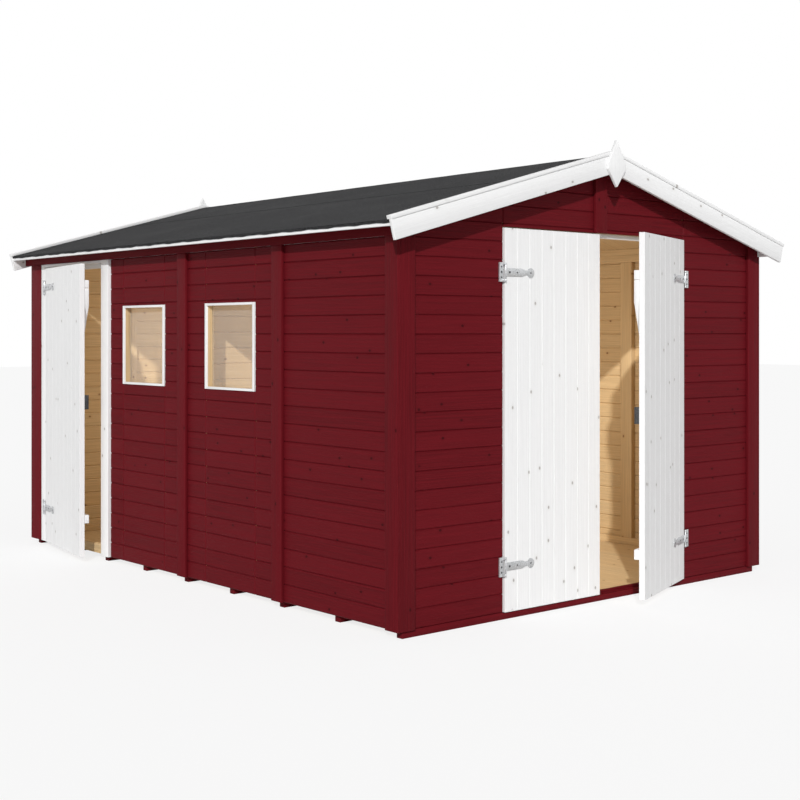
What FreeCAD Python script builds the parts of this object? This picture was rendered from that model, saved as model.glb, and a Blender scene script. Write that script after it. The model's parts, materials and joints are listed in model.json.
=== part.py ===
import FreeCAD, Part
import math
import os

# A small timber shed: a gable-roofed room of board walls on floor joists, with a
# double door in the front gable, a single door and two windows in the left wall,
# and a partition across the middle.  Units are millimetres, z is up, the front
# gable faces minus y and the ridge runs along y.  The origin is on the ground
# under the middle joist.

# Overall plan over the corner trims
WIDTH = 2776.0
LENGTH = 3752.0

# Layers of the walls, from the outside in
TRIM = 18.0
BOARD = 18.0
STUD_DEPTH = 34.0
STUD_WIDTH = 45.0
SEAM = 0.3

# Floor
JOIST_COUNT = 9
JOIST_WIDTH = 40.0
JOIST_HEIGHT = 35.0
JOIST_SETBACK = 44.0
DECK = 12.0
THRESHOLD_WIDTH = 18.0
THRESHOLD_RELIEF = 5.5

# Roof
PITCH = math.radians(15.5)
EAVE_HEIGHT = 1904.0
ROOF_BOARD = 16.0
FELT = 4.0
EAVE_OUT = 80.0
VERGE_OUT = 70.0
FASCIA = 14.0
FASCIA_DROP = 36.0
LIP_SHORT = 12.0
EAVE_PLATE_DEPTH = 69.0
EAVE_PLATE_OUT = 8.0
WALL_FRAME_DROP = 19.0
PURLIN_DEPTH = 70.0
SIDE_PURLIN_WIDTH = 34.0

# Gable boards, cap strips and finials
BARGE = 18.0
BARGE_DEPTH = 95.0
BARGE_END_OUT = 109.5
CAP = 18.0
CAP_PROUD = 5.0
CAP_BACK = 13.0
FINIAL = 18.0
FINIAL_DROP = 50.7
FINIAL_HALF_HEIGHT = 121.0
FINIAL_SIDE = 30.0
FINIAL_HALF_WIDTH = 66.5

# Trims
CORNER_TRIM = 90.0
STRIP_WIDTH = 90.0
PANELS = 4
FIRST_PANEL_START = 32.0
LAST_PANEL_SHORT = 60.0

# Partition across the room
PARTITION_LEAD = 17.0
PARTITION_BOARD = 16.0
PARTITION_STUDS = 6

# Clearances round the doors
HINGE_GAP = 3.5
HEAD_GAP = 6.0
STOP_GAP = 6.0
MEETING_GAP = 8.0
LATCH_GAP = 6.5

# Double door in the front gable
FRONT_OPENING = 1399.0
FRONT_HEAD_OVER_EAVE = 5.0
FRONT_LEAF_SET_BACK = 9.0
FRONT_STOP_WIDTH = 20.0
FRONT_STOP_DEPTH = 26.0
FRONT_HEAD_STOP = 23.0
RIGHT_LEAF_OPEN = 21.3

# Single door in the left wall, between the last panel joint and the back corner
SIDE_CASING_LEAD = 75.0
SIDE_CASING_NEAR = 89.0
SIDE_CASING_FAR = 58.0
SIDE_CASING_HEAD = 19.0
BACK_CORNER_TRIM = 150.0
SIDE_LEAF_PROUD = 2.0
SIDE_STOP_HEIGHT = 27.0
SIDE_STOP_DEPTH = 26.0
SIDE_LEAF_OPEN = 10.0

# Leaves, ledges and ironwork
LEAF = 30.0
LEDGE = 28.0
LEDGE_START = 30.0
EDGE_SET_BACK = 3.0
LOW_LEDGE = (238.0, 288.0)
HIGH_LEDGE_DROP = 99.0
HIGH_LEDGE_WIDTH = 48.0
BRACE_FOOT = 55.0
LOW_HINGE = 257.0
AXIS_PROUD = 7.0
STRAP = 3.5
STRAP_LENGTH = 200.0
STRAP_START = 3.0
STRAP_WIDTH = 40.0
STRAP_BAR = 115.0
STRAP_SHOULDER = 25.0
STRAP_WAIST = 23.0
STRAP_TIP_RADIUS = 24.0
BARREL_RADIUS = 5.0
BARREL_HEIGHT = 70.0
KNUCKLE_REACH = 12.0
PLATE_WIDTH = 27.0
PLATE_HEIGHT = 94.0
PLATE_THICKNESS = 3.0
PLATE_GAP = 3.0
LATCH_FOOT = 928.0
LATCH_TOP = 1014.0
LATCH_WIDTH = 60.0
LATCH_DEPTH = 27.0
KEEPER_WIDTH = 26.0
KEEPER_DEPTH = 12.0
KEEPER_INSET = 16.0

# Windows in the left wall
WINDOW_SHIFTS = (-6.0, -14.5)
WINDOW_WIDTH = 475.0
WINDOW_HEIGHT = 464.0
WINDOW_DROP = 333.0
WINDOW_STILE = 18.0
WINDOW_RAIL = 13.0
WINDOW_PROUD = 6.0
WINDOW_FRAME_DEPTH = 45.0
PANE = 4.0
PANE_DEPTH = 38.0
PANE_GROOVE = 5.0

# Faces of the layers, measured in from the outside of the trims
INNER = TRIM + BOARD
ROOM = INNER + STUD_DEPTH

# Heights, from the floor and from the roof's underside over the trims
FLOOR_TOP = JOIST_HEIGHT + DECK
ROOF_DEPTH = ROOF_BOARD + FELT
RIDGE_UNDERSIDE = EAVE_HEIGHT + WIDTH / 2 * math.tan(PITCH)
RIDGE_TOP = RIDGE_UNDERSIDE + ROOF_DEPTH / math.cos(PITCH)
FASCIA_FOOT = EAVE_HEIGHT - FASCIA_DROP
LIP_FOOT = FASCIA_FOOT + LIP_SHORT
EAVE_PLATE_FOOT = EAVE_HEIGHT - EAVE_PLATE_DEPTH
WALL_FRAME_TOP = EAVE_HEIGHT - WALL_FRAME_DROP
FINIAL_CENTRE = RIDGE_TOP - FINIAL_DROP
FRONT_HEAD = EAVE_HEIGHT + FRONT_HEAD_OVER_EAVE
SIDE_HEAD = EAVE_PLATE_FOOT - SIDE_CASING_HEAD
WINDOW_TOP = WALL_FRAME_TOP - WINDOW_DROP
WINDOW_FOOT = WINDOW_TOP - WINDOW_HEIGHT
HIGH_LEDGE_TOP = SIDE_HEAD - HEAD_GAP - HIGH_LEDGE_DROP
HIGH_LEDGE = (HIGH_LEDGE_TOP - HIGH_LEDGE_WIDTH, HIGH_LEDGE_TOP)
HINGE_HEIGHTS = (LOW_HINGE, HIGH_LEDGE_TOP - HIGH_LEDGE_WIDTH / 2)

# Places along the side walls, from the front corner
PANEL = (LENGTH - FIRST_PANEL_START - LAST_PANEL_SHORT) / PANELS
RIGHT_JOINTS = tuple(FIRST_PANEL_START + i * PANEL for i in range(1, PANELS))
LEFT_JOINTS = RIGHT_JOINTS[:len(WINDOW_SHIFTS)]
SIDE_CASING_START = RIGHT_JOINTS[-1] - SIDE_CASING_LEAD
SIDE_CASING_END = LENGTH - BACK_CORNER_TRIM
SIDE_OPENING_START = SIDE_CASING_START + SIDE_CASING_NEAR
SIDE_OPENING_END = SIDE_CASING_END - SIDE_CASING_FAR
WINDOW_STARTS = tuple(joint + (PANEL - WINDOW_WIDTH) / 2 + shift
                      for joint, shift in zip(LEFT_JOINTS, WINDOW_SHIFTS))
PARTITION_START = LEFT_JOINTS[-1] - PARTITION_LEAD
FAR = 2 * max(WIDTH, LENGTH)
UP = FreeCAD.Vector(0, 0, 1)
ORIGIN = FreeCAD.Vector(0, 0, 0)


# Place in x of a point measured from the left trims, in y from the front trims
def left(distance):
    return distance - WIDTH / 2


def front(distance):
    return distance - LENGTH / 2


def right(distance):
    return WIDTH / 2 - distance


def back(distance):
    return LENGTH / 2 - distance


def box(x0, x1, y0, y1, z0, z1):
    return Part.makeBox(x1 - x0, y1 - y0, z1 - z0, FreeCAD.Vector(x0, y0, z0))


# Solid with an outline in x and z, running from y0 to y1
def prism(points, y0, y1):
    ring = [FreeCAD.Vector(x, y0, z) for x, z in points]
    ring.append(ring[0])
    return Part.Face(Part.makePolygon(ring)).extrude(FreeCAD.Vector(0, y1 - y0, 0))


def join(shapes):
    whole = shapes[0]
    for shape in shapes[1:]:
        whole = whole.fuse(shape)
    return whole.removeSplitter()


def flip_x(shape):
    return shape.mirror(ORIGIN, FreeCAD.Vector(1, 0, 0))


def flip_y(shape):
    return shape.mirror(ORIGIN, FreeCAD.Vector(0, 1, 0))


def both_sides(shape):
    return [shape, flip_x(shape)]


def both_ends(shape):
    return [shape, flip_y(shape)]


def save(name, shapes):
    solids = []
    for shape in shapes:
        solids.extend(shape.Solids)
    whole = solids[0]
    if len(solids) > 1:
        whole = Part.makeCompound(solids)
    whole.exportStep("parts/" + name + ".step")


# Height of the felt's top over a place in x, or of the plane a depth below it
def roof_height(x, depth=0.0):
    return RIDGE_TOP - abs(x) * math.tan(PITCH) - depth / math.cos(PITCH)


# The part of a shape that lies below the roof boards, or a depth below them
def below_roof(shape, depth=0.0):
    d = ROOF_DEPTH + depth
    points = [(-FAR, -FAR), (FAR, -FAR), (FAR, roof_height(FAR, d)),
              (0, roof_height(0, d)), (-FAR, roof_height(FAR, d))]
    return shape.common(prism(points, -FAR, FAR))


# Upright board or stud from z0 to the roof boards, or to a depth below them
def to_roof(x0, x1, y0, y1, z0, depth=0.0):
    return below_roof(box(x0, x1, y0, y1, z0, RIDGE_TOP), depth)


# Strip on the left side between two places in x, from a level foot to a roof plane
def eave_strip(x0, x1, y0, y1, foot, depth):
    points = [(x0, foot), (x1, foot), (x1, roof_height(x1, depth)), (x0, roof_height(x0, depth))]
    return prism(points, y0, y1)


# Floor: joists with the front one let down under the doors, deck and threshold
def door_threshold_start():
    return front(FRONT_LEAF_SET_BACK + LEAF + STOP_GAP)


def floor_joists():
    half = FRONT_OPENING / 2
    pitch = (LENGTH - 2 * TRIM - JOIST_WIDTH) / (JOIST_COUNT - 1)
    joists = []
    for i in range(JOIST_COUNT):
        y = front(TRIM) + i * pitch
        joists.append(box(left(JOIST_SETBACK), right(JOIST_SETBACK), y, y + JOIST_WIDTH, 0, JOIST_HEIGHT))
    relief_foot = JOIST_HEIGHT - THRESHOLD_RELIEF
    relief = box(-half, half, front(0), door_threshold_start(), relief_foot, JOIST_HEIGHT)
    joists[0] = joists[0].cut(relief)
    save("floor_joists", joists)


def floor_deck():
    half = FRONT_OPENING / 2
    start = door_threshold_start()
    end = start + THRESHOLD_WIDTH
    deck = box(left(INNER), right(INNER), front(INNER), back(INNER), JOIST_HEIGHT, FLOOR_TOP)
    save("floor_deck", [deck.cut(box(-half, half, front(0), end, 0, FLOOR_TOP))])
    save("front_threshold", [box(-half, half, start, end, JOIST_HEIGHT, FLOOR_TOP)])


# Board walls, split beside and over the doorways and round the windows
def gable_walls():
    half = FRONT_OPENING / 2
    y0, y1 = front(TRIM), front(INNER)
    side = to_roof(left(TRIM), -half, y0, y1, JOIST_HEIGHT)
    save("front_wall_left", [side])
    save("front_wall_right", [flip_x(side)])
    save("front_wall_gable", [to_roof(-half, half, y0, y1, FRONT_HEAD)])
    save("back_wall", [to_roof(left(TRIM), right(TRIM), back(INNER), back(TRIM), JOIST_HEIGHT)])


def side_boards(start, end, z0):
    return to_roof(left(TRIM), left(INNER), front(start), front(end), z0)


def side_walls():
    piers = []
    panels = []
    start = INNER
    for window in WINDOW_STARTS:
        end = window + WINDOW_WIDTH
        piers.append(side_boards(start, window, JOIST_HEIGHT))
        panels.append(box(left(TRIM), left(INNER), front(window), front(end), JOIST_HEIGHT, WINDOW_FOOT))
        panels.append(side_boards(window, end, WINDOW_TOP))
        start = end
    piers.append(side_boards(start, SIDE_CASING_START, JOIST_HEIGHT))
    save("left_wall_piers", piers)
    save("left_wall_panels", panels)
    save("left_wall_over_door", [side_boards(SIDE_CASING_START, SIDE_CASING_END, EAVE_PLATE_FOOT)])
    save("left_wall_back", [side_boards(SIDE_CASING_END, LENGTH - INNER, JOIST_HEIGHT)])
    save("right_wall", [flip_x(side_boards(INNER, LENGTH - INNER, JOIST_HEIGHT))])


# Stud frames: each timber stands a seam away from the ones it is nailed to
def side_timber(start, end, z0, z1):
    return box(left(INNER), left(ROOM), front(start), front(end), z0, z1)


def side_frame(studs):
    foot = FLOOR_TOP + STUD_WIDTH
    head = WALL_FRAME_TOP - STUD_WIDTH
    timbers = [side_timber(INNER, LENGTH - INNER, FLOOR_TOP, foot),
               side_timber(INNER, LENGTH - INNER, head, WALL_FRAME_TOP)]
    for start, end in studs:
        timbers.append(side_timber(start, end, foot + SEAM, head - SEAM))
    return timbers


def corner_studs():
    return [(INNER, INNER + STUD_WIDTH), (LENGTH - INNER - STUD_WIDTH, LENGTH - INNER)]


def joint_studs(joints):
    return [(joint - STUD_WIDTH, joint + STUD_WIDTH) for joint in joints]


def window_timbers(start, bay_start, bay_end):
    end = start + WINDOW_WIDTH
    timbers = [side_timber(bay_start + SEAM, bay_end - SEAM, WINDOW_FOOT - STUD_WIDTH, WINDOW_FOOT),
               side_timber(bay_start + SEAM, bay_end - SEAM, WINDOW_TOP, WINDOW_TOP + STUD_WIDTH),
               side_timber(start - STUD_WIDTH, start, WINDOW_FOOT + SEAM, WINDOW_TOP - SEAM),
               side_timber(end, end + STUD_WIDTH, WINDOW_FOOT + SEAM, WINDOW_TOP - SEAM)]
    return timbers


def side_frames():
    door_studs = [(SIDE_OPENING_START - STUD_WIDTH, SIDE_OPENING_START),
                  (SIDE_OPENING_END, SIDE_OPENING_END + STUD_WIDTH)]
    joints = joint_studs(LEFT_JOINTS)
    timbers = side_frame(corner_studs() + joints + door_studs)
    bay_ends = [joints[1][0], door_studs[0][0]]
    for i in range(len(WINDOW_STARTS)):
        timbers.extend(window_timbers(WINDOW_STARTS[i], joints[i][1], bay_ends[i]))
    save("left_wall_frame", timbers)
    frame = side_frame(corner_studs() + joint_studs(RIGHT_JOINTS))
    save("right_wall_frame", [flip_x(timber) for timber in frame])


# Left half of the rail under the roof boards at the front
def sloping_rail():
    x0, x1 = left(ROOM), -SEAM / 2
    top, foot = ROOF_DEPTH, ROOF_DEPTH + STUD_WIDTH
    points = [(x0, roof_height(x0, foot)), (x1, roof_height(x1, foot)),
              (x1, roof_height(x1, top)), (x0, roof_height(x0, top))]
    return prism(points, front(INNER), front(ROOM))


def gable_stud(start, end, foot):
    return to_roof(start, end, front(INNER), front(ROOM), foot + SEAM, STUD_WIDTH + SEAM)


def gable_frames():
    y0, y1 = front(INNER), front(ROOM)
    half = FRONT_OPENING / 2
    foot = FLOOR_TOP + STUD_WIDTH
    rail = sloping_rail()
    bottom = box(left(ROOM), -half, y0, y1, FLOOR_TOP, foot)
    corner = gable_stud(left(ROOM), left(ROOM) + STUD_WIDTH, foot)
    jamb = gable_stud(-half - STUD_WIDTH, -half, foot)
    header = box(-half + SEAM, half - SEAM, y0, y1, FRONT_HEAD, FRONT_HEAD + STUD_WIDTH)
    king = gable_stud(-STUD_WIDTH / 2, STUD_WIDTH / 2, FRONT_HEAD + STUD_WIDTH)
    timbers = [header, king]
    for timber in (rail, bottom, corner, jamb):
        timbers.extend(both_sides(timber))
    save("front_wall_frame", timbers)
    middle = gable_stud(-STUD_WIDTH, STUD_WIDTH, foot)
    quarter = left(ROOM) / 2
    between = gable_stud(quarter - STUD_WIDTH / 2, quarter + STUD_WIDTH / 2, foot)
    timbers = [box(left(ROOM), right(ROOM), y0, y1, FLOOR_TOP, foot), middle]
    for timber in (rail, corner, between):
        timbers.extend(both_sides(timber))
    save("back_wall_frame", [flip_y(timber) for timber in timbers])


# Trims on the corners and over the panel joints
def side_trim(start, end):
    return box(left(0), left(TRIM), front(start), front(end), JOIST_HEIGHT, EAVE_PLATE_FOOT)


def corner_trims():
    x0 = left(TRIM + SEAM)
    end_trim = to_roof(x0, left(TRIM + CORNER_TRIM), front(0), front(TRIM), JOIST_HEIGHT)
    near = side_trim(0, CORNER_TRIM)
    trims = [side_trim(SIDE_CASING_END, LENGTH), flip_x(flip_y(near))]
    trims.extend(both_sides(near))
    for trim in both_sides(end_trim):
        trims.extend(both_ends(trim))
    save("corner_trims", trims)


def joint_strips():
    half = STRIP_WIDTH / 2
    strips = [side_trim(joint - half, joint + half) for joint in LEFT_JOINTS]
    strips.extend([flip_x(side_trim(joint - half, joint + half)) for joint in RIGHT_JOINTS])
    strips.append(to_roof(-half, half, front(0), front(TRIM), FRONT_HEAD))
    strips.append(to_roof(-half, half, back(TRIM), back(0), JOIST_HEIGHT))
    save("joint_strips", strips)


# Roof: timbers under the boards, boards, felt with its turned-down edge, fascia
def purlin(centre, width):
    half = width / 2
    foot = roof_height(abs(centre) + half, ROOF_DEPTH) - PURLIN_DEPTH
    return to_roof(centre - half, centre + half, front(ROOM), back(ROOM), foot)


def roof_purlins():
    ridge = purlin(0, STUD_WIDTH)
    side = purlin(-WIDTH / 4, SIDE_PURLIN_WIDTH)
    return [ridge] + both_sides(side)


def roof_timbers():
    y0, y1 = front(-VERGE_OUT), back(-VERGE_OUT)
    plate = eave_strip(left(-EAVE_PLATE_OUT), left(TRIM), y0, y1, EAVE_PLATE_FOOT, ROOF_DEPTH)
    save("eave_plates", both_sides(plate))
    eave = eave_strip(left(INNER), left(ROOM), front(INNER), back(INNER), WALL_FRAME_TOP, ROOF_DEPTH)
    save("roof_purlins", roof_purlins() + both_sides(eave))


def roof_sheet(out, top, foot):
    x0 = left(-out)
    points = [(x0, roof_height(x0, foot)), (0, roof_height(0, foot)), (0, roof_height(0, top)),
              (x0, roof_height(x0, top))]
    return prism(points, front(-VERGE_OUT), back(-VERGE_OUT))


def save_sides(name, shapes):
    save(name + "_left", shapes)
    save(name + "_right", [flip_x(shape) for shape in shapes])


def roof_covering():
    y0, y1 = front(-VERGE_OUT), back(-VERGE_OUT)
    out = EAVE_OUT + FASCIA
    save_sides("roof_boards", [roof_sheet(EAVE_OUT, FELT, ROOF_DEPTH)])
    lip = eave_strip(left(-out - FELT), left(-out), y0, y1, LIP_FOOT, 0.0)
    save_sides("roof_felt", [join([roof_sheet(out, 0.0, FELT), lip])])
    fascia = eave_strip(left(-out), left(-EAVE_OUT), y0, y1, FASCIA_FOOT, FELT)
    save("fascia_strips", both_sides(fascia))


# Outline of a board along the left slope with a square-cut lower end; the end and
# both depths are measured at the felt's top
def slope_outline(end_out, top, foot):
    x = left(-end_out)
    z = roof_height(x)
    run, rise = math.sin(PITCH), math.cos(PITCH)
    return [(x + foot * run, z - foot * rise), (0, roof_height(0, foot)),
            (0, roof_height(0, top)), (x + top * run, z - top * rise)]


def gable_boards():
    outer = front(-VERGE_OUT - BARGE)
    inner = front(-VERGE_OUT)
    barge = prism(slope_outline(BARGE_END_OUT, 0.0, BARGE_DEPTH), outer, inner)
    save_sides("barge_boards", both_ends(barge))
    cap = prism(slope_outline(BARGE_END_OUT, -CAP, 0.0), outer - CAP_PROUD, inner + CAP_BACK)
    save_sides("cap_strips", both_ends(cap))
    c, h, w = FINIAL_CENTRE, FINIAL_HALF_HEIGHT, FINIAL_HALF_WIDTH
    side = FINIAL_SIDE
    outline = [(0, c + h), (w, c), (w, c - side), (0, c - h), (-w, c - side), (-w, c)]
    finial = prism(outline, outer - FINIAL, outer)
    finial = finial.cut(cap).cut(flip_x(cap))
    save("finials", both_ends(finial))


# Partition: boards to the front room and studs behind, cut round the purlins
def partition():
    y0 = front(PARTITION_START)
    y1 = y0 + PARTITION_BOARD
    y2 = y1 + STUD_DEPTH
    boards = to_roof(left(ROOM), right(ROOM), y0, y1, FLOOR_TOP)
    for timber in roof_purlins():
        boards = boards.cut(timber)
    save("partition_boards", [boards])
    pitch = (WIDTH - 2 * ROOM - STUD_WIDTH) / (PARTITION_STUDS - 1)
    studs = []
    for i in range(PARTITION_STUDS):
        x = left(ROOM) + i * pitch
        stud = to_roof(x, x + STUD_WIDTH, y1, y2, FLOOR_TOP)
        for timber in roof_purlins():
            stud = stud.cut(timber)
        studs.append(stud)
    save("partition_studs", studs)


# Door leaves are drawn closed: x runs from the hinge edge to the free edge, y runs
# in from the outer face, and the hinge axis stands off the outer corner
def axis_back():
    return HINGE_GAP / 2


def leaf_board(width, top):
    return box(0, width, 0, LEAF, JOIST_HEIGHT, top)


def leaf_ledges(width):
    x0, x1 = LEDGE_START, width - EDGE_SET_BACK
    y0, y1 = LEAF, LEAF + LEDGE
    foot, head = LOW_LEDGE[1] + SEAM, HIGH_LEDGE[0] - SEAM
    drop = BRACE_FOOT * (head - foot) / (x1 - x0)
    brace = prism([(x0, foot), (x0 + BRACE_FOOT, foot), (x1, head - drop), (x1, head)], y0, y1)
    return [box(x0, x1, y0, y1, LOW_LEDGE[0], LOW_LEDGE[1]),
            box(x0, x1, y0, y1, HIGH_LEDGE[0], HIGH_LEDGE[1]), brace]


# Strap on the leaf, an even bar that narrows to a waist before its round end, and
# the barrel that carries it
def strap(z):
    start = STRAP_START - axis_back()
    tip_centre = STRAP_LENGTH - STRAP_TIP_RADIUS
    waist = STRAP_BAR + STRAP_SHOULDER
    wide, narrow = STRAP_WIDTH / 2, STRAP_WAIST / 2
    outline = [(start, z - wide), (STRAP_BAR, z - wide), (waist, z - narrow), (tip_centre, z - narrow),
               (tip_centre, z + narrow), (waist, z + narrow), (STRAP_BAR, z + wide), (start, z + wide)]
    centre = FreeCAD.Vector(tip_centre, -STRAP, z)
    tip = Part.makeCylinder(STRAP_TIP_RADIUS, STRAP, centre, FreeCAD.Vector(0, 1, 0))
    hinge_foot = FreeCAD.Vector(-axis_back(), -AXIS_PROUD, z - BARREL_HEIGHT / 2)
    barrel = Part.makeCylinder(BARREL_RADIUS, BARREL_HEIGHT, hinge_foot, UP)
    knuckle = box(-axis_back(), KNUCKLE_REACH - axis_back(), -AXIS_PROUD, -STRAP,
                  z - wide, z + wide)
    return join([prism(outline, -STRAP, 0), tip, barrel, knuckle])


# Fixed plate beside the barrel, from its outer face in to the wall it is screwed to,
# with a knuckle on the hinge axis above and below the barrel to carry it
def fixed_plate(z, outer, seat):
    x1 = -axis_back() - BARREL_RADIUS - PLATE_GAP
    pieces = [box(x1 - PLATE_WIDTH, x1, outer, seat, z - PLATE_HEIGHT / 2, z + PLATE_HEIGHT / 2)]
    near = BARREL_HEIGHT / 2 + SEAM
    height = PLATE_HEIGHT / 2 - near
    for foot in (z + near, z - near - height):
        centre = FreeCAD.Vector(-axis_back(), -AXIS_PROUD, foot)
        pieces.append(Part.makeCylinder(BARREL_RADIUS, height, centre, UP))
        pieces.append(box(x1 - STRAP, -axis_back(), -AXIS_PROUD, -AXIS_PROUD + STRAP, foot, foot + height))
        pieces.append(box(x1 - STRAP, x1, -AXIS_PROUD, seat, foot, foot + height))
    return join(pieces)


def latch_box(width):
    x1 = width - EDGE_SET_BACK
    return box(x1 - LATCH_WIDTH, x1, LEAF, LEAF + LATCH_DEPTH, LATCH_FOOT, LATCH_TOP)


def keeper_box(width):
    x1 = width - EDGE_SET_BACK
    return box(x1 - KEEPER_WIDTH, x1, LEAF, LEAF + KEEPER_DEPTH,
               LATCH_FOOT + KEEPER_INSET, LATCH_TOP - KEEPER_INSET)


# A shape of a closed leaf, moved to its doorway
def at_front_left(shape):
    moved = shape.copy()
    moved.translate(FreeCAD.Vector(-FRONT_OPENING / 2 + HINGE_GAP, front(FRONT_LEAF_SET_BACK), 0))
    return moved


def at_front_right(shape):
    return flip_x(at_front_left(shape))


def at_side(shape):
    moved = shape.copy()
    moved.rotate(ORIGIN, UP, -90)
    moved.translate(FreeCAD.Vector(left(-SIDE_LEAF_PROUD), front(SIDE_OPENING_END - HINGE_GAP), 0))
    return moved


# The same, swung open about its hinge axis as the doors stand at rest
def open_front_right(shape):
    moved = at_front_right(shape)
    axis = FreeCAD.Vector(FRONT_OPENING / 2 - axis_back(), front(FRONT_LEAF_SET_BACK) - AXIS_PROUD, 0)
    moved.rotate(axis, UP, RIGHT_LEAF_OPEN)
    return moved


def open_side(shape):
    moved = at_side(shape)
    axis = FreeCAD.Vector(left(-SIDE_LEAF_PROUD) - AXIS_PROUD, front(SIDE_OPENING_END - axis_back()), 0)
    moved.rotate(axis, UP, -SIDE_LEAF_OPEN)
    return moved


def door(name, width, top, place):
    save(name + "_leaf", [place(leaf_board(width, top))])
    save(name + "_ledges", [place(shape) for shape in leaf_ledges(width)])
    save(name + "_straps", [place(strap(z)) for z in HINGE_HEIGHTS])


def doors():
    width = (FRONT_OPENING - MEETING_GAP) / 2 - HINGE_GAP
    top = FRONT_HEAD - HEAD_GAP
    door("front_left", width, top, at_front_left)
    door("front_right", width, top, open_front_right)
    save("front_keeper", [at_front_left(keeper_box(width))])
    save("front_latch", [open_front_right(latch_box(width))])
    width = SIDE_OPENING_END - HINGE_GAP - SIDE_OPENING_START - LATCH_GAP
    door("side", width, SIDE_HEAD - HEAD_GAP, open_side)
    save("side_latch", [open_side(latch_box(width))])


def hinge_plates():
    plates = []
    wall = TRIM - FRONT_LEAF_SET_BACK
    for z in HINGE_HEIGHTS:
        plate = fixed_plate(z, 0, wall)
        plates.append(at_front_left(plate))
        plates.append(at_front_right(plate))
        plates.append(at_side(fixed_plate(z, SIDE_LEAF_PROUD - PLATE_THICKNESS, SIDE_LEAF_PROUD)))
    save("hinge_plates", plates)


# Door stops round the double doorway
def front_door_stops():
    half = FRONT_OPENING / 2
    y0 = door_threshold_start()
    y1 = y0 + FRONT_STOP_DEPTH
    head = FRONT_HEAD - FRONT_HEAD_STOP
    side = box(-half, -half + FRONT_STOP_WIDTH, y0, y1, FLOOR_TOP, head - SEAM)
    save("front_door_stops", both_sides(side) + [box(-half, half, y0, y1, head, FRONT_HEAD)])


# White casing of the single doorway, with a stop under its head
def side_door_frame():
    x0, x1 = left(0), left(INNER)
    foot, top = JOIST_HEIGHT, EAVE_PLATE_FOOT
    posts = [box(x0, x1, front(SIDE_CASING_START), front(SIDE_OPENING_START), foot, top),
             box(x0, x1, front(SIDE_OPENING_END), front(SIDE_CASING_END), foot, top)]
    y0, y1 = front(SIDE_OPENING_START) + SEAM, front(SIDE_OPENING_END) - SEAM
    head = box(x0, x1, y0, y1, SIDE_HEAD, top)
    stop_x = left(LEAF - SIDE_LEAF_PROUD + STOP_GAP)
    stop = box(stop_x, stop_x + SIDE_STOP_DEPTH, y0, y1, SIDE_HEAD - SIDE_STOP_HEIGHT, SIDE_HEAD)
    save("side_door_frame", posts + [join([head, stop])])


# Windows: a frame of two stiles and two rails with the pane let into a groove
def window(start):
    end = start + WINDOW_WIDTH
    x0 = left(TRIM - WINDOW_PROUD)
    x1 = x0 + WINDOW_FRAME_DEPTH
    inner0, inner1 = start + WINDOW_STILE, end - WINDOW_STILE
    foot, top = WINDOW_FOOT + WINDOW_RAIL, WINDOW_TOP - WINDOW_RAIL
    frame = [box(x0, x1, front(start), front(inner0) - SEAM, WINDOW_FOOT, WINDOW_TOP),
             box(x0, x1, front(inner1) + SEAM, front(end), WINDOW_FOOT, WINDOW_TOP),
             box(x0, x1, front(inner0), front(inner1), WINDOW_FOOT, foot),
             box(x0, x1, front(inner0), front(inner1), top, WINDOW_TOP)]
    g = PANE_GROOVE
    pane = box(x0 + PANE_DEPTH, x0 + PANE_DEPTH + PANE, front(inner0 - g), front(inner1 + g), foot - g, top + g)
    return [piece.cut(pane) for piece in frame], pane


def windows():
    frames = []
    panes = []
    for start in WINDOW_STARTS:
        frame, pane = window(start)
        frames.extend(frame)
        panes.append(pane)
    save("window_frames", frames)
    save("window_panes", panes)


os.makedirs("parts", exist_ok=True)
floor_joists()
floor_deck()
gable_walls()
side_walls()
side_frames()
gable_frames()
corner_trims()
joint_strips()
roof_timbers()
roof_covering()
gable_boards()
partition()
doors()
hinge_plates()
front_door_stops()
side_door_frame()
windows()
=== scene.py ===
"""A timber garden shed: boards, trims, felt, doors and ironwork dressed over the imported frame."""
import bpy
import json
import math
import numpy as np
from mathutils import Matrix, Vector


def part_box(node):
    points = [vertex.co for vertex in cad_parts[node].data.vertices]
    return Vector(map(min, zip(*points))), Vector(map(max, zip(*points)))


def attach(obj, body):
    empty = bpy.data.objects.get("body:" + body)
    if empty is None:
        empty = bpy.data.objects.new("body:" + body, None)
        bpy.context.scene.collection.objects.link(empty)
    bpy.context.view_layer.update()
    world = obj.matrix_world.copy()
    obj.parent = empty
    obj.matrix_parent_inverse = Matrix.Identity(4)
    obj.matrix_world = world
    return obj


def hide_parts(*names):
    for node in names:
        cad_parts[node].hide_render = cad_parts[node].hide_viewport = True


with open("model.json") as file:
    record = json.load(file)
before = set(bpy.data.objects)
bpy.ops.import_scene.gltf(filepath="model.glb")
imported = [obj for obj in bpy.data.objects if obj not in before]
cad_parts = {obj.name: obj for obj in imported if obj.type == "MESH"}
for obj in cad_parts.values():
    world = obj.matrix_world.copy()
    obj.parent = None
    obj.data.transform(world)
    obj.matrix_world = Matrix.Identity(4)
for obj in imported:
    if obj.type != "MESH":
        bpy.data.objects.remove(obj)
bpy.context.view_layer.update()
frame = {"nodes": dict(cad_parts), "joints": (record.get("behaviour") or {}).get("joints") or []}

bl_info = {
    "name": "Timber shed",
    "version": (1, 0, 0),
    "blender": (4, 5, 0),
    "location": "View3D > Sidebar > Shed",
    "description": "Models the boards, roof, doors and ironwork of a timber shed",
    "category": "Object",
}


def low(node):
    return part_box(node)[0]


def high(node):
    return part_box(node)[1]


# Sizes read from the frame
RIDGE_UNDER = high("back_wall").z
ROOF_EDGE = high("roof_boards_right").x
ROOF_EDGE_UNDER = low("roof_boards_right").z
SLOPE = (RIDGE_UNDER - ROOF_EDGE_UNDER) / ROOF_EDGE
PITCH = math.atan(SLOPE)

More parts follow.
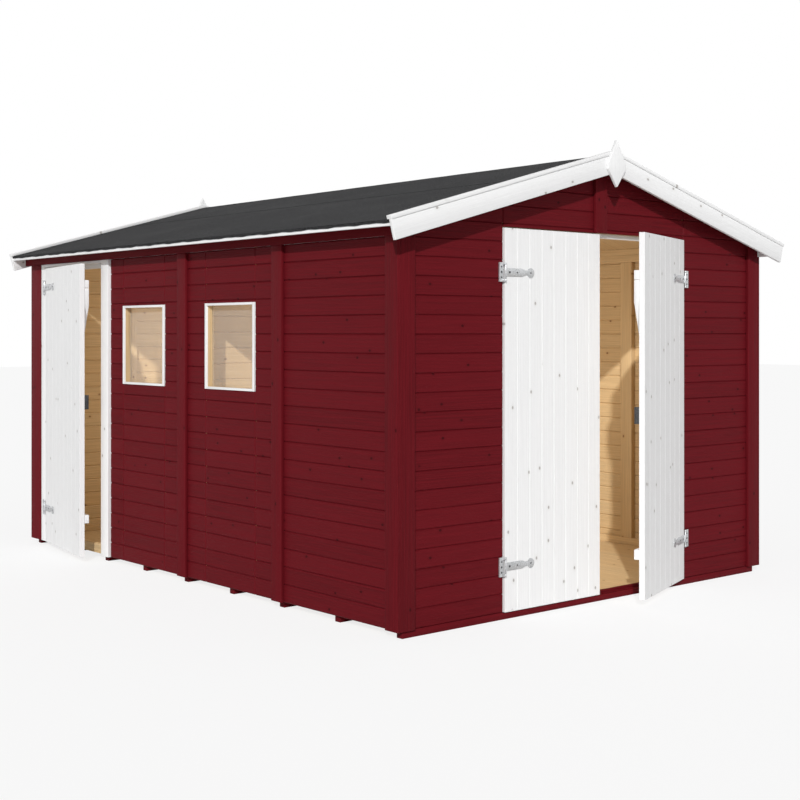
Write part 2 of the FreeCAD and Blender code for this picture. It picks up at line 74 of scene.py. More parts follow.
# Paint ends this far inside the outer face of a board, and nothing lies past FAR_OFF
ROOM_TO_PAINT = 0.009
FAR_OFF = 9.0

# How far the doors stand open, counted from shut
OPEN_RIGHT = math.radians(-frame["joints"][1]["range_deg"][0])
OPEN_SIDE = math.radians(frame["joints"][2]["range_deg"][1])

FLOOR_BOARD = 0.095

# Ironwork: distances from a hinge's axis, and a screw's place with its share of the size
STRAP_FACE = 0.0035
STRAP_SCREWS = ((0.031, 1.35), (0.083, 1.0), (0.178, 1.0))
PLATE_MIDDLE = 0.0215
PLATE_SCREWS = ((-0.026, 1.0), (0.0, 1.25), (0.026, 1.0))
PLATE_BEHIND_AXIS = 0.007
PLATE_OFF_CASING = 0.003
LATCH_PLATE_RIM = 0.012
LATCH_PLATE_DEPTH = 0.002

# Light, floor and camera
SUN_STRENGTH = 2.75
SUN_DIRECTION = (1, 1, -0.70)
SKY_STRENGTH = 0.36
FLOOR_WHITE = 0.80
ROOMS = ((-1.80, -0.03), (0.02, 1.80))
ROOM_LIGHT = 26
ROOM_LIGHT_HEIGHT = 1.25
EYE_PLACE = (-5.3216, -6.5108, 1.3949)
EYE_TURN = math.radians(-40.4308)
EYE_LENS = 60.632
EYE_SHIFT = -0.08465


class ShedSizes(bpy.types.PropertyGroup):
    """Sizes of the boards and of the small forms on them."""

    board: bpy.props.FloatProperty(
        name="Board cover", description="Height that each wall board shows", default=0.09, unit="LENGTH")
    groove: bpy.props.FloatProperty(
        name="Board edge", description="Chamfer along each wall board", default=0.0052, unit="LENGTH")
    leaf_board: bpy.props.FloatProperty(
        name="Door board", description="Width of one door board", default=0.0865, unit="LENGTH")
    leaf_groove: bpy.props.FloatProperty(
        name="Door board edge", description="Chamfer along each door board", default=0.0013, unit="LENGTH")
    round_edge: bpy.props.FloatProperty(
        name="Timber edge", description="Rounding of planed timber", default=0.0022, unit="LENGTH")
    steel_edge: bpy.props.FloatProperty(
        name="Steel edge", description="Rounding of the ironwork", default=0.0007, unit="LENGTH")
    felt_lap: bpy.props.FloatProperty(
        name="First course", description="Felt course from the eave to its lap", default=0.92, unit="LENGTH")
    felt_wave: bpy.props.FloatProperty(
        name="Felt wave", description="Unevenness of the felt's cut edge", default=0.0022, unit="LENGTH")
    screw: bpy.props.FloatProperty(
        name="Screw head", description="Radius of a screw head", default=0.0042, unit="LENGTH")


class ShedColours(bpy.types.PropertyGroup):
    """Colours of the finishes, as linear values."""

    red: bpy.props.FloatVectorProperty(
        name="Red paint", description="Paint of the walls", default=(0.112, 0.0062, 0.0100),
        size=3, subtype="COLOR")
    white: bpy.props.FloatVectorProperty(
        name="White paint", description="Paint of the doors and edges", default=(0.80, 0.80, 0.80),
        size=3, subtype="COLOR")
    pine: bpy.props.FloatVectorProperty(
        name="Pine", description="Bare wood inside", default=(0.62, 0.46, 0.26), size=3, subtype="COLOR")
    knot: bpy.props.FloatVectorProperty(
        name="Knot", description="Knots in the bare wood", default=(0.20, 0.095, 0.040),
        size=3, subtype="COLOR")
    felt: bpy.props.FloatVectorProperty(
        name="Felt", description="Mineral roofing felt", default=(0.026, 0.026, 0.027),
        size=3, subtype="COLOR")
    zinc: bpy.props.FloatVectorProperty(
        name="Zinc", description="Galvanised steel", default=(0.60, 0.61, 0.62), size=3, subtype="COLOR")


def sizes():
    return bpy.context.scene.shed_sizes


def colours():
    return bpy.context.scene.shed_colours


# Modelling helpers
def only(obj):
    bpy.ops.object.select_all(action="DESELECT")
    obj.select_set(True)
    bpy.context.view_layer.objects.active = obj


def block(name, lowest, highest):
    """A box between two corners, with its place in its mesh."""
    lowest, highest = Vector(lowest), Vector(highest)
    bpy.ops.object.select_all(action="DESELECT")
    bpy.ops.mesh.primitive_cube_add(size=1, location=(lowest + highest) / 2)
    obj = bpy.context.active_object
    obj.name = name
    obj.scale = highest - lowest
    bpy.ops.object.transform_apply(location=True, rotation=True, scale=True)
    return obj


def repeat(obj, count, step):
    if count > 1:
        array = obj.modifiers.new("rows", "ARRAY")
        array.count = count
        array.use_relative_offset = False
        array.use_constant_offset = True
        array.constant_offset_displace = step
        only(obj)
        bpy.ops.object.modifier_apply(modifier=array.name)
    return obj


def round_edges(obj, width, segments=2):
    """Rounds the edges and keeps the faces flat; one segment leaves a plain chamfer."""
    only(obj)
    if segments > 1:
        bpy.ops.object.shade_smooth()
    bevel = obj.modifiers.new("edges", "BEVEL")
    bevel.width = width
    bevel.segments = segments
    bevel.limit_method = "ANGLE"
    bevel.angle_limit = math.radians(28)
    bevel.use_clamp_overlap = True
    bevel.harden_normals = segments > 1
    bpy.ops.object.modifier_apply(modifier=bevel.name)
    return obj


def trim(obj, point, outward):
    """Cuts off what lies outside a plane and closes the cut."""
    only(obj)
    bpy.ops.object.mode_set(mode="EDIT")
    bpy.ops.mesh.select_all(action="SELECT")
    bpy.ops.mesh.bisect(plane_co=point, plane_no=outward, use_fill=True, clear_outer=True)
    bpy.ops.object.mode_set(mode="OBJECT")
    return obj


def under_roof(obj):
    trim(obj, (0, 0, RIDGE_UNDER), (math.sin(PITCH), 0, math.cos(PITCH)))
    return trim(obj, (0, 0, RIDGE_UNDER), (-math.sin(PITCH), 0, math.cos(PITCH)))


def merge(name, objects):
    bpy.ops.object.select_all(action="DESELECT")
    for obj in objects:
        obj.select_set(True)
    bpy.context.view_layer.objects.active = objects[0]
    if len(objects) > 1:
        bpy.ops.object.join()
    objects[0].name = name
    return objects[0]


def copy_of(node, name):
    """A clean copy of a node's solids, with its loose triangles merged to flat faces."""
    source = frame["nodes"][node]
    obj = bpy.data.objects.new(name, source.data.copy())
    bpy.context.scene.collection.objects.link(obj)
    obj.data.materials.clear()
    only(obj)
    bpy.ops.object.mode_set(mode="EDIT")
    bpy.ops.mesh.select_all(action="SELECT")
    bpy.ops.mesh.remove_doubles(threshold=0.00002)
    bpy.ops.mesh.dissolve_limited(angle_limit=math.radians(1))
    bpy.ops.object.mode_set(mode="OBJECT")
    return obj


def islands(mesh):
    """The number of the connected part that each vertex belongs to."""
    count = len(mesh.vertices)
    ends = np.zeros(len(mesh.edges) * 2, int)
    mesh.edges.foreach_get("vertices", ends)
    ends = ends.reshape(-1, 2)
    label = np.arange(count)
    while True:
        least = label.copy()
        np.minimum.at(least, ends[:, 0], label[ends[:, 1]])
        np.minimum.at(least, ends[:, 1], label[ends[:, 0]])
        least = least[least]
        if np.array_equal(least, label):
            return np.unique(label, return_inverse=True)[1]
        label = least


def lay_grain(obj, seed):
    """Stores where each point lies along, across and into its own timber, and a tone for it."""
    mesh = obj.data
    points = np.zeros(len(mesh.vertices) * 3)
    mesh.vertices.foreach_get("co", points)
    points = points.reshape(-1, 3)
    part = islands(mesh)
    draw = np.random.default_rng(seed)
    grain = np.zeros_like(points)
    tone = np.zeros(len(points))
    for number in range(part.max() + 1):
        chosen = part == number
        own = points[chosen]
        centred = own - own.mean(0)
        axes = np.linalg.svd(centred, full_matrices=False)[2]
        grain[chosen] = centred @ axes.T + draw.uniform(-40, 40, 3)
        tone[chosen] = draw.uniform(0, 1)
    layer = mesh.attributes.new("grain", "FLOAT_VECTOR", "POINT")
    layer.data.foreach_set("vector", grain.ravel().astype(np.float32))
    layer = mesh.attributes.new("tone", "FLOAT", "POINT")
    layer.data.foreach_set("value", tone.astype(np.float32))


def place(obj, body, material, slot, *nodes, seed=1):
    """Finishes a piece: grain, material, body and the nodes it stands for; the slot is not used."""
    lay_grain(obj, seed)
    obj.data.materials.clear()
    obj.data.materials.append(material)
    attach(obj, body)
    if nodes:
        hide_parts(*nodes)
    return obj


# Material helpers
def start_material(name):
    material = bpy.data.materials.new(name)
    material.use_nodes = True
    tree = material.node_tree
    shader = tree.nodes["Principled BSDF"]
    return material, tree, shader


def add(tree, kind, **settings):
    node = tree.nodes.new(kind)
    for name, value in settings.items():
        setattr(node, name, value)
    return node


def wire(tree, source, target):
    tree.links.new(source, target)


def noise(tree, vector, scale, detail, roughness=0.55, distortion=0.0):
    node = add(tree, "ShaderNodeTexNoise")
    node.inputs["Scale"].default_value = scale
    node.inputs["Detail"].default_value = detail
    node.inputs["Roughness"].default_value = roughness
    node.inputs["Distortion"].default_value = distortion
    wire(tree, vector, node.inputs["Vector"])
    return node.outputs["Fac"]


def stretch(tree, vector, scale):
    node = add(tree, "ShaderNodeMapping")
    node.inputs["Scale"].default_value = scale
    wire(tree, vector, node.inputs["Vector"])
    return node.outputs["Vector"]


def math_node(tree, operation, first, second):
    node = add(tree, "ShaderNodeMath", operation=operation)
    for socket, value in zip(node.inputs, (first, second)):
        if isinstance(value, (int, float)):
            socket.default_value = value
        else:
            wire(tree, value, socket)
    return node.outputs["Value"]


def span(tree, value, from_low, from_high, to_low, to_high):
    node = add(tree, "ShaderNodeMapRange", interpolation_type="SMOOTHSTEP")
    wire(tree, value, node.inputs["Value"])
    ends = {"From Min": from_low, "From Max": from_high, "To Min": to_low, "To Max": to_high}
    for name, number in ends.items():
        node.inputs[name].default_value = number
    return node.outputs["Result"]


def mix(tree, factor, first, second, blend="MIX"):
    node = add(tree, "ShaderNodeMix", data_type="RGBA", blend_type=blend)
    for socket, value in ((node.inputs[0], factor), (node.inputs[6], first), (node.inputs[7], second)):
        if isinstance(value, (int, float)):
            socket.default_value = value
        elif isinstance(value, tuple):
            socket.default_value = (*value, 1)
        else:
            wire(tree, value, socket)
    return node.outputs[2]


def shade_of(colour, share):
    return tuple(channel * share for channel in colour)


class Wood:
    """The streaks, year rings, knots and board tone that every wooden finish shares."""

    def __init__(self, tree):
        grain = add(tree, "ShaderNodeAttribute", attribute_name="grain").outputs["Vector"]
        self.tone = add(tree, "ShaderNodeAttribute", attribute_name="tone").outputs["Fac"]
        self.streaks = noise(tree, stretch(tree, grain, (3.0, 140.0, 140.0)), 1.0, 6.0)
        warped = stretch(tree, grain, (1.1, 17.0, 17.0))
        rings = add(tree, "ShaderNodeTexWave", wave_type="BANDS", bands_direction="Y")
        rings.inputs["Scale"].default_value = 1.6
        rings.inputs["Distortion"].default_value = 7.0
        rings.inputs["Detail"].default_value = 2.0
        wire(tree, warped, rings.inputs["Vector"])
        self.rings = rings.outputs["Fac"]
        cells = add(tree, "ShaderNodeTexVoronoi", voronoi_dimensions="2D")
        cells.inputs["Scale"].default_value = 6.5
        wire(tree, stretch(tree, grain, (0.72, 1.0, 1.0)), cells.inputs["Vector"])
        split = add(tree, "ShaderNodeSeparateColor")
        wire(tree, cells.outputs["Color"], split.inputs["Color"])
        present = span(tree, split.outputs["Red"], 0.50, 0.54, 0.0, 1.0)
        near = span(tree, cells.outputs["Distance"], 0.022, 0.052, 1.0, 0.0)
        halo = span(tree, cells.outputs["Distance"], 0.045, 0.13, 1.0, 0.0)
        self.knots = math_node(tree, "MULTIPLY", present, near)
        self.halo = math_node(tree, "MULTIPLY", present, halo)
        self.tree = tree

    def bump(self, shader, strength, grain_depth):
        """Raises the grain and sinks the knots a little."""
        height = math_node(self.tree, "ADD", self.streaks, math_node(self.tree, "MULTIPLY", self.rings, 0.5))
        height = math_node(self.tree, "SUBTRACT", height, math_node(self.tree, "MULTIPLY", self.knots, 0.6))
        node = add(self.tree, "ShaderNodeBump")
        node.inputs["Strength"].default_value = strength
        node.inputs["Distance"].default_value = grain_depth
        wire(self.tree, height, node.inputs["Height"])
        wire(self.tree, node.outputs["Normal"], shader.inputs["Normal"])

    def painted(self, colour, streak, knot, lift):
        """Paint over wood: faint streaks, knots that show through and a tone for each board."""
        tree = self.tree
        base = mix(tree, span(tree, self.streaks, 0.3, 0.7, 0.0, 1.0),
                   shade_of(colour, 1 - streak), shade_of(colour, 1 + streak * 0.7))
        base = mix(tree, math_node(tree, "MULTIPLY", self.rings, streak), base, shade_of(colour, 0.72))
        base = mix(tree, math_node(tree, "MULTIPLY", self.tone, lift), base, shade_of(colour, 1.18))
        base = mix(tree, math_node(tree, "MULTIPLY", self.halo, knot * 0.35), base, shade_of(colour, 0.78))
        return mix(tree, math_node(tree, "MULTIPLY", self.knots, knot), base, shade_of(colour, 0.30))

    def bare(self, colour, knot):
        """Planed pine: pale early wood, darker year rings, brown knots."""
        tree = self.tree
        base = mix(tree, span(tree, self.streaks, 0.3, 0.72, 0.0, 1.0),
                   shade_of(colour, 0.84), shade_of(colour, 1.08))
        ring_colour = (colour[0] * 0.84, colour[1] * 0.76, colour[2] * 0.66)
        base = mix(tree, span(tree, self.rings, 0.55, 1.0, 0.0, 0.42), base, ring_colour)
        warm = (colour[0] * 0.95, colour[1] * 0.88, colour[2] * 0.78)
        base = mix(tree, math_node(tree, "MULTIPLY", self.tone, 0.45), base, warm)
        base = mix(tree, math_node(tree, "MULTIPLY", self.halo, 0.35), base, ring_colour)
        return mix(tree, math_node(tree, "MULTIPLY", self.knots, 0.85), base, knot)


def is_outside(tree, wall_x, wall_y=FAR_OFF):
    """1 past either distance from the middle of the shed and 0 within both."""
    place_of = add(tree, "ShaderNodeTexCoord").outputs["Object"]
    parts = add(tree, "ShaderNodeSeparateXYZ")
    wire(tree, place_of, parts.inputs["Vector"])
    across = math_node(tree, "ABSOLUTE", parts.outputs["X"], 0)
    along = math_node(tree, "ABSOLUTE", parts.outputs["Y"], 0)
    return math_node(tree, "MAXIMUM", math_node(tree, "GREATER_THAN", across, wall_x),
                     math_node(tree, "GREATER_THAN", along, wall_y))


def red_paint(lined):
    """Dull red paint; lined boards are bare pine towards the room."""
    material, tree, shader = start_material("red_boards_lined" if lined else "red_paint")
    wood = Wood(tree)
    colour = wood.painted(tuple(colours().red), 0.18, 0.85, 0.50)
    if lined:
        wall_x = high("right_wall").x - ROOM_TO_PAINT
        wall_y = high("back_wall").y - ROOM_TO_PAINT
        bare = wood.bare(tuple(colours().pine), tuple(colours().knot))
        colour = mix(tree, is_outside(tree, wall_x, wall_y), bare, colour)
    wire(tree, colour, shader.inputs["Base Color"])
    wire(tree, span(tree, wood.streaks, 0.2, 0.8, 0.44, 0.60), shader.inputs["Roughness"])
    shader.inputs["Specular IOR Level"].default_value = 0.05
    wood.bump(shader, 0.45, 0.0012)
    return material


def white_paint():
    """Thin white paint through which knots and grain show grey."""
    material, tree, shader = start_material("white_paint")
    wood = Wood(tree)
    base = wood.painted(tuple(colours().white), 0.030, 0.0, 0.05)
    base = mix(tree, math_node(tree, "MULTIPLY", wood.halo, 0.22), base, (0.62, 0.61, 0.59))
    base = mix(tree, math_node(tree, "MULTIPLY", wood.knots, 0.72), base, (0.27, 0.24, 0.215))
    wire(tree, base, shader.inputs["Base Color"])
    wire(tree, span(tree, wood.streaks, 0.2, 0.8, 0.42, 0.58), shader.inputs["Roughness"])
    shader.inputs["Specular IOR Level"].default_value = 0.35
    wood.bump(shader, 0.32, 0.0010)
    return material


def bare_pine():
    material, tree, shader = start_material("bare_pine")
    wood = Wood(tree)
    wire(tree, wood.bare(tuple(colours().pine), tuple(colours().knot)), shader.inputs["Base Color"])
    wire(tree, span(tree, wood.streaks, 0.2, 0.8, 0.55, 0.70), shader.inputs["Roughness"])
    shader.inputs["Specular IOR Level"].default_value = 0.25
    wood.bump(shader, 0.35, 0.0010)
    return material


def window_wood():
    """White on the outer lip of the window frame and bare pine in its reveal."""
    material, tree, shader = start_material("window_wood")
    wood = Wood(tree)
    lip = high("right_wall").x - ROOM_TO_PAINT / 2
    white = wood.painted(tuple(colours().white), 0.03, 0.1, 0.05)
    bare = wood.bare(tuple(colours().pine), tuple(colours().knot))
    wire(tree, mix(tree, is_outside(tree, lip), bare, white), shader.inputs["Base Color"])
    shader.inputs["Roughness"].default_value = 0.5
    wood.bump(shader, 0.3, 0.0008)
    return material


def plate_paint():
    """Red on the outside of the eave plates, white on the side towards the gable boards."""
    material, tree, shader = start_material("plate_paint")
    wood = Wood(tree)
    red = wood.painted(tuple(colours().red), 0.18, 0.85, 0.50)
    white = wood.painted(tuple(colours().white), 0.03, 0.1, 0.05)
    outer_face = high("right_wall").x + 0.006
    wire(tree, mix(tree, is_outside(tree, outer_face), white, red), shader.inputs["Base Color"])
    shader.inputs["Roughness"].default_value = 0.55
    shader.inputs["Specular IOR Level"].default_value = 0.05
    wood.bump(shader, 0.4, 0.0010)
    return material


def mineral_felt():
    """Black roofing felt with slate grains that catch a little light."""
    material, tree, shader = start_material("mineral_felt")
    spot = add(tree, "ShaderNodeTexCoord").outputs["Object"]
    grains = noise(tree, spot, 160.0, 4.0, 0.75)
    patches = noise(tree, stretch(tree, spot, (1.0, 0.5, 1.0)), 3.5, 4.0)
    felt = tuple(colours().felt)
    base = mix(tree, span(tree, grains, 0.42, 0.68, 0.0, 1.0), shade_of(felt, 0.45), shade_of(felt, 2.6))
    base = mix(tree, span(tree, patches, 0.35, 0.7, 0.0, 0.35), base, shade_of(felt, 1.5))
    wire(tree, base, shader.inputs["Base Color"])
    wire(tree, span(tree, patches, 0.3, 0.7, 0.80, 0.93), shader.inputs["Roughness"])
    shader.inputs["Specular IOR Level"].default_value = 0.08
    bump = add(tree, "ShaderNodeBump")
    bump.inputs["Strength"].default_value = 0.55
    bump.inputs["Distance"].default_value = 0.0016
    wire(tree, grains, bump.inputs["Height"])
    wire(tree, bump.outputs["Normal"], shader.inputs["Normal"])
    return material


def galvanised():
    """Zinc with its crystal patches and fine scratches."""
    material, tree, shader = start_material("galvanised_steel")
    spot = add(tree, "ShaderNodeTexCoord").outputs["Object"]
    crystals = add(tree, "ShaderNodeTexVoronoi")
    crystals.inputs["Scale"].default_value = 190.0
    wire(tree, spot, crystals.inputs["Vector"])
    split = add(tree, "ShaderNodeSeparateColor")
    wire(tree, crystals.outputs["Color"], split.inputs["Color"])
    zinc = tuple(colours().zinc)
    wire(tree, mix(tree, split.outputs["Red"], shade_of(zinc, 0.80), shade_of(zinc, 1.12)),
         shader.inputs["Base Color"])
    wire(tree, span(tree, split.outputs["Green"], 0.0, 1.0, 0.32, 0.52), shader.inputs["Roughness"])
    shader.inputs["Metallic"].default_value = 0.85
    bump = add(tree, "ShaderNodeBump")
    bump.inputs["Strength"].default_value = 0.25
    bump.inputs["Distance"].default_value = 0.0004
    wire(tree, noise(tree, spot, 300.0, 3.0), bump.inputs["Height"])
    wire(tree, bump.outputs["Normal"], shader.inputs["Normal"])
    return material


def latch_black():
    material, tree, shader = start_material("latch_black")
    spot = add(tree, "ShaderNodeTexCoord").outputs["Object"]
    worn = noise(tree, spot, 160.0, 4.0)
    dark, rubbed = (0.045, 0.045, 0.047), (0.085, 0.085, 0.088)
    wire(tree, mix(tree, span(tree, worn, 0.4, 0.7, 0.0, 1.0), dark, rubbed), shader.inputs["Base Color"])
    wire(tree, span(tree, worn, 0.3, 0.7, 0.35, 0.55), shader.inputs["Roughness"])
    shader.inputs["Metallic"].default_value = 0.4
    return material


def clear_pane():
    """Thin clear glazing with a faint uneven gloss."""
    material, tree, shader = start_material("clear_pane")
    spot = add(tree, "ShaderNodeTexCoord").outputs["Object"]
    smear = noise(tree, spot, 9.0, 4.0)
    wire(tree, mix(tree, smear, (0.90, 0.93, 0.92), (0.97, 0.98, 0.98)), shader.inputs["Base Color"])
    wire(tree, span(tree, smear, 0.3, 0.7, 0.02, 0.07), shader.inputs["Roughness"])
    shader.inputs["Alpha"].default_value = 0.10
    shader.inputs["Specular IOR Level"].default_value = 0.5
    return material


finishes = {}


def finish_of(name):
    makers = {"red": lambda: red_paint(False), "lined": lambda: red_paint(True), "white": white_paint,
              "pine": bare_pine, "window": window_wood, "plate": plate_paint, "felt": mineral_felt,
              "zinc": galvanised, "black": latch_black, "pane": clear_pane}
    if name not in finishes:
        finishes[name] = makers[name]()
    return finishes[name]


# Walls
def board_rows(name, lowest, highest):
    """Level boards from a foot to a head, each with chamfered edges."""
    cover = sizes().board
    foot, head = lowest[2], highest[2]
    first = (lowest[0], lowest[1], foot)
    obj = block(name, first, (highest[0], highest[1], foot + cover))
    round_edges(obj, sizes().groove, 1)
    repeat(obj, math.ceil((head - foot) / cover), (0, 0, cover))
    return trim(obj, (0, 0, head), (0, 0, 1))


def rows_from_floor(name, node):
    """Boards that fill a wall node, with their courses counted from the wall's foot."""
    lowest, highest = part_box(node)
    cover = sizes().board
    foot = low("back_wall").z
    start = foot + math.floor((lowest.z - foot) / cover + 0.001) * cover
    obj = board_rows(name, (lowest.x, lowest.y, start), highest)
    if start < lowest.z - 0.0005:
        trim(obj, (0, 0, lowest.z), (0, 0, -1))
    return under_roof(obj)


class SHED_OT_walls(bpy.types.Operator):
    """Clad the gables and the plain side walls with level boards"""

    bl_idname = "shed.walls"
    bl_label = "Wall boards"

    def execute(self, context):
        nodes = ("front_wall_left", "front_wall_right", "front_wall_gable", "back_wall", "right_wall",
                 "left_wall_over_door", "left_wall_back")
        for number, node in enumerate(nodes):
            obj = rows_from_floor(node + "_boards", node)
            place(obj, "shell", finish_of("lined"), "red_boards", node, seed=number + 10)
        return {"FINISHED"}


class SHED_OT_window_wall(bpy.types.Operator):
    """Clad the wall that holds the windows, cut round their frames"""

    bl_idname = "shed.window_wall"
    bl_label = "Window wall boards"

    def execute(self, context):
        lowest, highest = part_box("left_wall_piers")
        holes = self.holes()
        parts = []
        start = lowest.y
        for near, far, foot, head in holes + [(highest.y, None, None, None)]:
            parts.append(self.strip(start, near, lowest.z, highest.z))
            if far is None:
                break
            parts.append(self.strip(near, far, lowest.z, foot))
            parts.append(self.strip(near, far, head, highest.z))
            start = far
        obj = merge("left_wall_boards", parts)
        place(obj, "shell", finish_of("lined"), "red_boards", "left_wall_piers", "left_wall_panels", seed=31)
        return {"FINISHED"}

    def holes(self):
        frames = frame["nodes"]["window_frames"].data
        spots = np.array([v.co for v in frames.vertices])
        middle = (spots[:, 1].min() + spots[:, 1].max()) / 2
        found = []
        for side in (spots[spots[:, 1] < middle], spots[spots[:, 1] > middle]):
            found.append((side[:, 1].min(), side[:, 1].max(), side[:, 2].min(), side[:, 2].max()))
        return found

    def strip(self, near, far, foot, head):
        lowest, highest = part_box("left_wall_piers")
        cover = sizes().board
        start = lowest.z + math.floor((foot - lowest.z) / cover + 0.001) * cover
        obj = board_rows("strip", (lowest.x, near, start), (highest.x, far, head))
        if start < foot - 0.0005:
            trim(obj, (0, 0, foot), (0, 0, -1))
        return under_roof(obj)


class SHED_OT_partition(bpy.types.Operator):
    """Line the partition with level boards"""

    bl_idname = "shed.partition"
    bl_label = "Partition boards"

    def execute(self, context):
        lowest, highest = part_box("partition_boards")
        obj = under_roof(board_rows("partition_lining", lowest, highest))
        place(obj, "shell", finish_of("pine"), "pine", "partition_boards", seed=41)
        return {"FINISHED"}


class SHED_OT_floor(bpy.types.Operator):
    """Lay the floor boards along the room"""

    bl_idname = "shed.floor"
    bl_label = "Floor boards"

    def execute(self, context):
        lowest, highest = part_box("floor_deck")
        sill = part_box("front_threshold")
        count = math.ceil((highest.x - lowest.x) / FLOOR_BOARD)
        obj = block("floor_planks", lowest, (lowest.x + FLOOR_BOARD, highest.y, highest.z))
        round_edges(obj, 0.0016, 1)
        repeat(obj, count, (FLOOR_BOARD, 0, 0))
        trim(obj, (highest.x, 0, 0), (1, 0, 0))
        trim(obj, (0, sill[1].y, 0), (0, -1, 0))
        place(obj, "shell", finish_of("pine"), "pine_floor", "floor_deck", seed=43)
        return {"FINISHED"}


# Roof
def along_slope(distance):
    """Height of the roof boards' top at a distance from the ridge line."""
    return high("roof_boards_right").z - abs(distance) * SLOPE


class SHED_OT_roof_boards(bpy.types.Operator):
    """Board both slopes from ridge to eave"""

    bl_idname = "shed.roof_boards"
    bl_label = "Roof boards"

    def execute(self, context):
        for side, sign in (("left", -1), ("right", 1)):
            node = "roof_boards_" + side
            lowest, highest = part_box(node)
            count = round((highest.y - lowest.y) / sizes().board)
            cover = (highest.y - lowest.y) / count
            thick = highest.z - RIDGE_UNDER
            obj = block(node + "_laid", (0, lowest.y, 0), (ROOF_EDGE, lowest.y + cover, thick))
            self.slope(obj, sign)
            round_edges(obj, 0.0022, 1)
            repeat(obj, count, (0, cover, 0))
            place(obj, "shell", finish_of("pine"), "pine", node, seed=50 + sign)
        return {"FINISHED"}

    def slope(self, obj, sign):
        for vertex in obj.data.vertices:
            x = vertex.co.x
            vertex.co.z += RIDGE_UNDER - x * SLOPE
            vertex.co.x = x * sign
        if sign < 0:
            only(obj)
            bpy.ops.object.mode_set(mode="EDIT")
            bpy.ops.mesh.select_all(action="SELECT")
            bpy.ops.mesh.normals_make_consistent(inside=False)
            bpy.ops.object.mode_set(mode="OBJECT")


class SHED_OT_felt(bpy.types.Operator):
    """Lay the felt in two lapped courses with a wavy turned-down edge"""

    bl_idname = "shed.felt"
    bl_label = "Roofing felt"

    def execute(self, context):
        for side, sign in (("left", -1), ("right", 1)):
            node = "roof_felt_" + side
            lowest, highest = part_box(node)
            edge = max(abs(lowest.x), abs(highest.x))
            lap = edge - sizes().felt_lap * math.cos(PITCH)
            thick = highest.z - high("roof_boards_right").z
            lower = self.course(node, lowest, highest, lap - 0.08, edge, sign, 0.0, thick * 0.62)
            upper = self.course(node, lowest, highest, 0.0, lap, sign, thick * 0.30, thick * 0.66)
            drip = self.edge_strip(lowest, highest, edge, sign, thick)
            obj = merge(node + "_courses", [lower, upper, drip])
            place(obj, "shell", finish_of("felt"), "felt", node, seed=60 + sign)
        return {"FINISHED"}

    def course(self, name, lowest, highest, near, far, sign, lift, thick):
        bpy.ops.object.select_all(action="DESELECT")
        bpy.ops.mesh.primitive_grid_add(x_subdivisions=14, y_subdivisions=160, size=1)
        obj = bpy.context.active_object
        obj.name = name + "_course"
        wave = sizes().felt_wave
        for vertex in obj.data.vertices:
            share = vertex.co.x + 0.5
            y = lowest.y + (vertex.co.y + 0.5) * (highest.y - lowest.y)
            x = near + share * (far - near)
            if lift and share > 0.99:
                x += wave * math.sin(y * 7.3)
            ripple = 0.00035 * math.sin(y * 5.1 + x * 3.0) + 0.00025 * math.sin(y * 13.7 - x * 9.0)
            vertex.co = (x * sign, y, along_slope(x) + lift + abs(ripple))
        return self.thicken(obj, thick)

    def thicken(self, obj, thick):
        only(obj)
        bpy.ops.object.mode_set(mode="EDIT")
        bpy.ops.mesh.select_all(action="SELECT")
        bpy.ops.mesh.normals_make_consistent(inside=False)
        bpy.ops.object.mode_set(mode="OBJECT")
        if obj.data.polygons[0].normal.z < 0:
            obj.data.flip_normals()
        solid = obj.modifiers.new("sheet", "SOLIDIFY")
        solid.thickness = thick
        solid.offset = 1.0
        only(obj)
        bpy.ops.object.modifier_apply(modifier=solid.name)
        bpy.ops.object.shade_smooth_by_angle(angle=math.radians(40))
        return obj

    def edge_strip(self, lowest, highest, edge, sign, thick):
        fascia_out = max(abs(low("fascia_strips").x), high("fascia_strips").x)
        top = along_slope(edge) + thick * 0.6
        obj = block("drip", (fascia_out, lowest.y, lowest.z), (edge, highest.y, top))
        cuts = 150
        step = (highest.y - lowest.y) / cuts
        only(obj)
        bpy.ops.object.mode_set(mode="EDIT")
        for number in range(1, cuts):
            bpy.ops.mesh.select_all(action="SELECT")
            bpy.ops.mesh.bisect(plane_co=(0, lowest.y + number * step, 0), plane_no=(0, 1, 0))
        bpy.ops.object.mode_set(mode="OBJECT")
        wave = sizes().felt_wave
        for vertex in obj.data.vertices:
            if vertex.co.z < lowest.z + 0.001:
                y = vertex.co.y
                vertex.co.z += wave * (1.2 + math.sin(y * 27.0) * 0.7 + math.sin(y * 61.0 + 1.0) * 0.5)
            vertex.co.x *= sign
        if sign < 0:
            obj.data.flip_normals()
        return obj


# Timbers: clean copies of the frame's solids with rounded edges
class SHED_OT_timbers(bpy.types.Operator):
    """Round the edges of trims, rails, studs, joists, fascias, barge boards and caps"""

    bl_idname = "shed.timbers"
    bl_label = "Timbers"

    def execute(self, context):
        painted = {
            "red": ("floor_joists", "front_threshold", "corner_trims", "joint_strips"),
            "white": ("fascia_strips", "barge_boards_left", "barge_boards_right", "cap_strips_left",
                      "cap_strips_right", "finials", "side_door_frame", "front_door_stops"),
            "pine": ("left_wall_frame", "right_wall_frame", "front_wall_frame", "back_wall_frame",
                     "partition_studs", "roof_purlins"),
        }
        slots = {"red": "red_timber", "white": "white_timber", "pine": "pine"}
        seed = 70
        for finish, nodes in painted.items():
            for node in nodes:
                seed += 1
                obj = round_edges(copy_of(node, node + "_planed"), sizes().round_edge)
                place(obj, "shell", finish_of(finish), slots[finish], node, seed=seed)
        obj = round_edges(copy_of("eave_plates", "eave_plates_planed"), sizes().round_edge)
        place(obj, "shell", finish_of("plate"), "red_timber", "eave_plates", seed=100)
        return {"FINISHED"}


